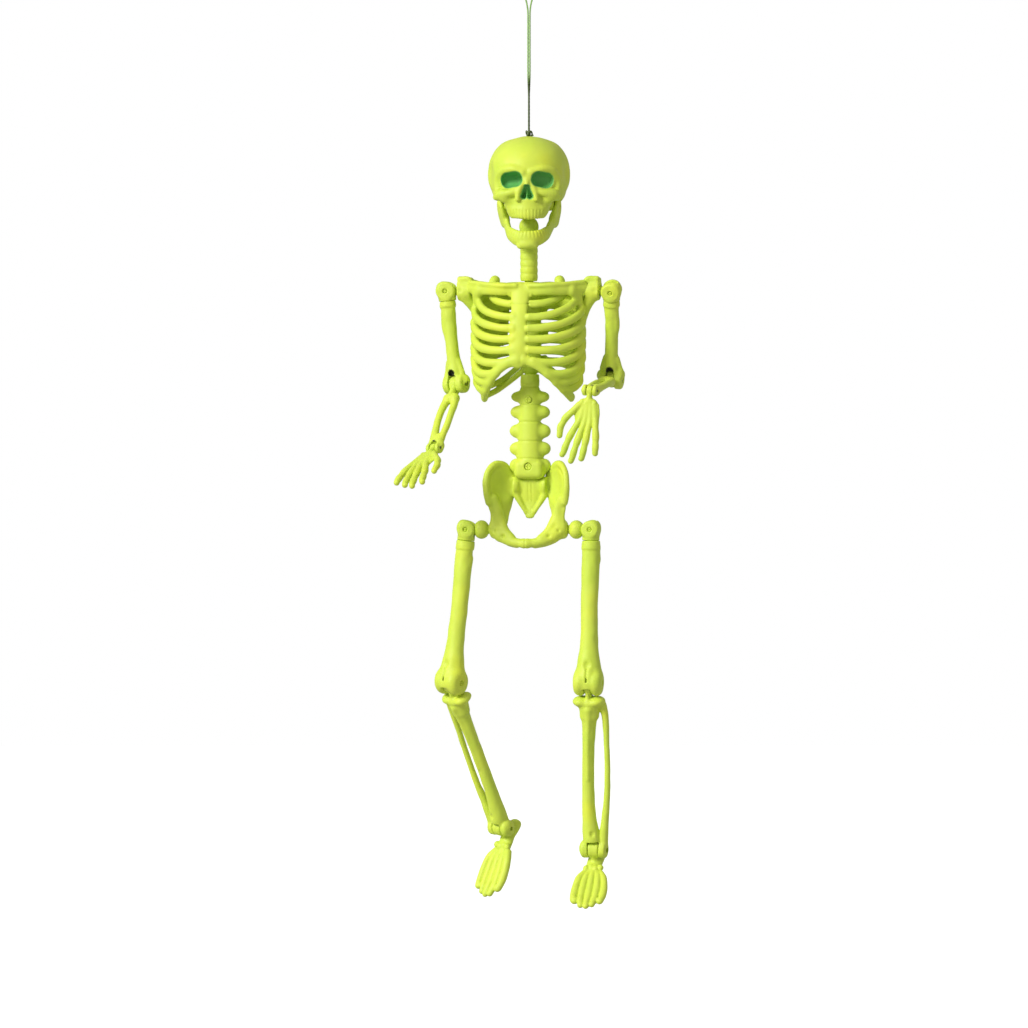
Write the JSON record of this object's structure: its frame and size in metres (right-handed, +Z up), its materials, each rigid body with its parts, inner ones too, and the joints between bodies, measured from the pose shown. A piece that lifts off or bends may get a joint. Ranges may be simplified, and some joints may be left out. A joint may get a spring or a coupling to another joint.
{
  "type": "halloween skeleton figure",
  "caption": "Hanging toy skeleton in lime plastic with a hollow skull, an opening jaw, a rib cage and pinned arms and legs, on a string loop",
  "frame": {"origin": "top of the hanging string's loop, on its centre line, where a hook holds it", "axes": "+Z is up along the string, the figure faces -Y, +X is the figure's own left"},
  "size_m": [0.1121, 0.1139, 0.4925],
  "materials": {
    "lime_plastic": "satin moulded, yellow-green",
    "steel": "dull plated",
    "twine": "thin twisted twine"
  },
  "bodies": {
    "hanger": {"hanging_string": "twine", "crown_knot": "twine", "stop_knot": "twine"},
    "skull": {"skull_face": "lime_plastic", "skull_back": "lime_plastic", "jaw_pins": "steel", "neck_pin": "steel"},
    "jaw": {"jaw": "lime_plastic"},
    "neck": {"neck": "lime_plastic"},
    "torso": {"rib_cage_front": "lime_plastic", "rib_cage_rear": "lime_plastic", "left_shoulder_blade": "lime_plastic", "right_shoulder_blade": "lime_plastic", "lumbar_spine": "lime_plastic", "spine_screws": "steel", "pelvis": "lime_plastic"},
    "left_shoulder_peg": {"left_shoulder_peg": "lime_plastic"},
    "left_shoulder_head": {"left_shoulder_head": "lime_plastic", "left_shoulder_pin": "steel"},
    "left_upper_arm": {"left_upper_arm": "lime_plastic", "left_elbow_pin": "steel"},
    "left_forearm": {"left_forearm": "lime_plastic", "left_wrist_pin": "steel"},
    "left_hand": {"left_hand": "lime_plastic"},
    "left_hip_peg": {"left_hip_peg": "lime_plastic"},
    "left_hip_head": {"left_hip_head": "lime_plastic", "left_hip_pin": "steel"},
    "left_thigh": {"left_thigh": "lime_plastic", "left_knee_pin": "steel"},
    "left_shin": {"left_shin": "lime_plastic", "left_ankle_pin": "steel"},
    "left_foot": {"left_foot": "lime_plastic"},
    "right_shoulder_peg": {"right_shoulder_peg": "lime_plastic"},
    "right_shoulder_head": {"right_shoulder_head": "lime_plastic", "right_shoulder_pin": "steel"},
    "right_upper_arm": {"right_upper_arm": "lime_plastic", "right_elbow_pin": "steel"},
    "right_forearm": {"right_forearm": "lime_plastic", "right_wrist_pin": "steel"},
    "right_hand": {"right_hand": "lime_plastic"},
    "right_hip_peg": {"right_hip_peg": "lime_plastic"},
    "right_hip_head": {"right_hip_head": "lime_plastic", "right_hip_pin": "steel"},
    "right_thigh": {"right_thigh": "lime_plastic", "right_knee_pin": "steel"},
    "right_shin": {"right_shin": "lime_plastic", "right_ankle_pin": "steel"},
    "right_foot": {"right_foot": "lime_plastic"}
  },
  "joints": [
    {"name": "skull_spin", "type": "hinge", "parent": "hanger", "child": "skull", "pos_m": [0, 0, -0.0851], "axis": [0, 0, 1], "continuous": true},
    {"name": "jaw_open", "type": "hinge", "parent": "skull", "child": "jaw", "pos_m": [-0.00016, 0.00099, -0.1195], "axis": [0.9877, 0.1564, 0], "range_deg": [-15, 14]},
    {"name": "head_nod", "type": "hinge", "parent": "skull", "child": "neck", "pos_m": [0, 0, -0.121], "axis": [0.9877, 0.1564, 0], "range_deg": [-14, 14]},
    {"name": "neck_turn", "type": "hinge", "parent": "neck", "child": "torso", "pos_m": [0, 0, -0.16], "axis": [0, 0, 1], "range_deg": [-60, 60]},
    {"name": "left_arm_swing", "type": "hinge", "parent": "torso", "child": "left_shoulder_peg", "pos_m": [0.0445, 0, -0.165], "axis": [-1, 0, 0], "range_deg": [-30, 110]},
    {"name": "left_arm_raise", "type": "hinge", "parent": "left_shoulder_peg", "child": "left_shoulder_head", "pos_m": [0.0445, 0, -0.165], "axis": [0, -0.9397, -0.342], "range_deg": [-3, 70]},
    {"name": "left_upper_arm_twist", "type": "hinge", "parent": "left_shoulder_head", "child": "left_upper_arm", "pos_m": [0.0445, 0, -0.165], "axis": [0.0698, -0.3412, 0.9374], "range_deg": [-8, 60]},
    {"name": "left_elbow_bend", "type": "hinge", "parent": "left_upper_arm", "child": "left_forearm", "pos_m": [0.04105, 0.01689, -0.2114], "axis": [-0.9938, 0.0581, 0.0951], "range_deg": [-95, 10]},
    {"name": "left_wrist_bend", "type": "hinge", "parent": "left_forearm", "child": "left_hand", "pos_m": [0.03802, -0.02453, -0.2177], "axis": [0.9938, -0.0581, -0.0951], "range_deg": [-150, 4]},
    {"name": "left_leg_swing", "type": "hinge", "parent": "torso", "child": "left_hip_peg", "pos_m": [0.0335, 0, -0.291], "axis": [-1, 0, 0], "range_deg": [-25, 80]},
    {"name": "left_leg_raise", "type": "hinge", "parent": "left_hip_peg", "child": "left_hip_head", "pos_m": [0.0335, 0, -0.291], "axis": [0, -1, 0], "range_deg": [0, 45]},
    {"name": "left_thigh_twist", "type": "hinge", "parent": "left_hip_head", "child": "left_thigh", "pos_m": [0.0335, 0, -0.291], "axis": [0.0175, 0, 0.9998], "range_deg": [-45, 45]},
    {"name": "left_knee_bend", "type": "hinge", "parent": "left_thigh", "child": "left_shin", "pos_m": [0.03209, 0, -0.37199], "axis": [0.9998, 0, -0.0175], "range_deg": [-14, 81]},
    {"name": "left_ankle_bend", "type": "hinge", "parent": "left_shin", "child": "left_foot", "pos_m": [0.03054, 0.02201, -0.46027], "axis": [0.9998, 0, -0.0175], "range_deg": [-34, 31]},
    {"name": "right_arm_swing", "type": "hinge", "parent": "torso", "child": "right_shoulder_peg", "pos_m": [-0.0445, 0, -0.165], "axis": [-1, 0, 0], "range_deg": [-40, 110]},
    {"name": "right_arm_raise", "type": "hinge", "parent": "right_shoulder_peg", "child": "right_shoulder_head", "pos_m": [-0.0445, 0, -0.165], "axis": [0, 1, 0], "range_deg": [-1, 70]},
    {"name": "right_upper_arm_twist", "type": "hinge", "parent": "right_shoulder_head", "child": "right_upper_arm", "pos_m": [-0.0445, 0, -0.165], "axis": [0.1045, 0, -0.9945], "range_deg": [-60, 60]},
    {"name": "right_elbow_bend", "type": "hinge", "parent": "right_upper_arm", "child": "right_forearm", "pos_m": [-0.03933, 0, -0.21423], "axis": [-0.9155, 0.3907, -0.0962], "range_deg": [-32, 70]},
    {"name": "right_wrist_bend", "type": "hinge", "parent": "right_forearm", "child": "right_hand", "pos_m": [-0.04591, -0.0238, -0.2482], "axis": [0.9155, -0.3907, 0.0962], "range_deg": [-60, 100]},
    {"name": "right_leg_swing", "type": "hinge", "parent": "torso", "child": "right_hip_peg", "pos_m": [-0.0335, 0, -0.291], "axis": [-1, 0, 0], "range_deg": [-25, 80]},
    {"name": "right_leg_raise", "type": "hinge", "parent": "right_hip_peg", "child": "right_hip_head", "pos_m": [-0.0335, 0, -0.291], "axis": [0, 1, 0], "range_deg": [-6, 40]},
    {"name": "right_thigh_twist", "type": "hinge", "parent": "right_hip_head", "child": "right_thigh", "pos_m": [-0.0335, 0, -0.291], "axis": [-0.1045, 0, -0.9945], "range_deg": [-60, 30]},
    {"name": "right_knee_bend", "type": "hinge", "parent": "right_thigh", "child": "right_shin", "pos_m": [-0.04197, 0, -0.37156], "axis": [0.8613, -0.5, -0.0905], "range_deg": [-34, 60]},
    {"name": "right_ankle_bend", "type": "hinge", "parent": "right_shin", "child": "right_foot", "pos_m": [-0.02455, 0.04407, -0.44925], "axis": [0.8613, -0.5, -0.0905], "range_deg": [-50, 20]}
  ]
}
